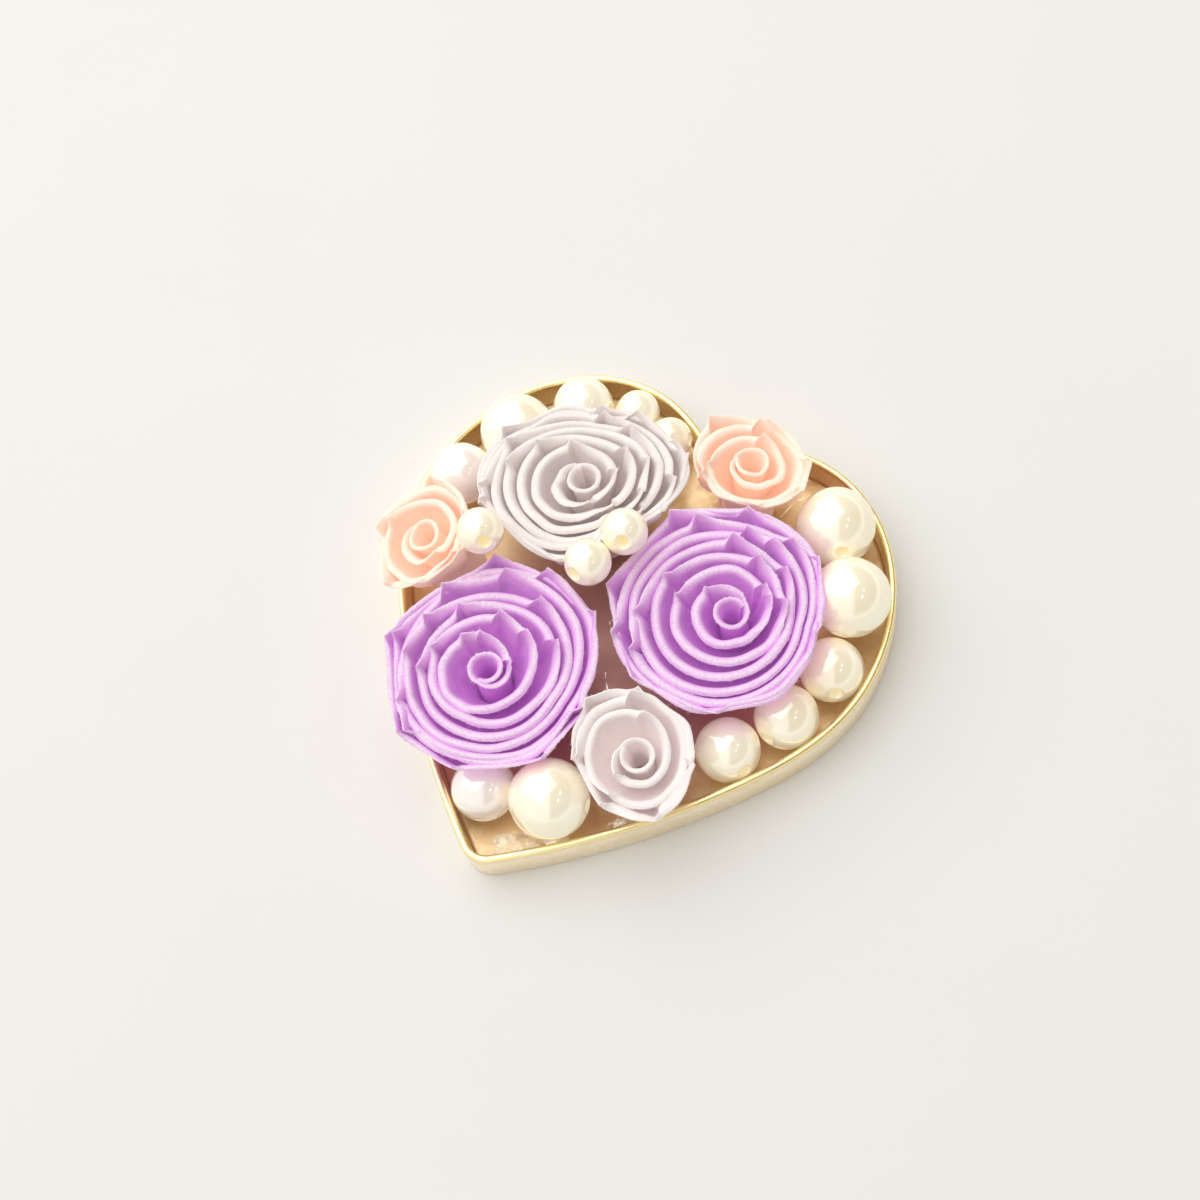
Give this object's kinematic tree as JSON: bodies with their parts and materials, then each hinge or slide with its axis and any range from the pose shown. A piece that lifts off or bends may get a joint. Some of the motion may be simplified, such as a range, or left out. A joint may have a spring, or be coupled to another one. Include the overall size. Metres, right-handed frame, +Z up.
{
  "type": "heart tray ornament with quilled paper roses",
  "caption": "Shallow heart-shaped gold tray filled with quilled paper roses, each rolled from a folded strip, and drilled imitation-pearl beads, glued in as a decoration.",
  "frame": {"origin": "centre of the heart outline's box on the tray's flat back face", "axes": "+Z up through the tray towards the roses, +Y towards the notch of the heart, -Y towards its tip"},
  "size_m": [0.0332, 0.034, 0.0098],
  "materials": {
    "gold_tray": "polished gold plating",
    "purple_paper": "matt dyed paper",
    "grey_paper": "matt paper",
    "white_paper": "matt paper",
    "pink_paper": "matt dyed paper",
    "pearl": "pearl lacquer"
  },
  "bodies": {
    "root": {"heart_tray": "gold_tray", "rose_purple_left": "purple_paper", "rose_purple_right": "purple_paper", "rose_grey": "grey_paper", "rose_white": "white_paper", "rose_pink_notch": "pink_paper", "rose_pink_left": "pink_paper", "pearl_right_1": "pearl", "pearl_right_2": "pearl", "pearl_right_3": "pearl", "pearl_right_4": "pearl", "pearl_right_5": "pearl", "pearl_tip_1": "pearl", "pearl_tip_2": "pearl", "pearl_left_1": "pearl", "pearl_left_2": "pearl", "pearl_left_3": "pearl", "pearl_left_4": "pearl", "pearl_left_5": "pearl", "pearl_top_1": "pearl", "pearl_top_2": "pearl", "pearl_top_3": "pearl"}
  },
  "joints": []
}
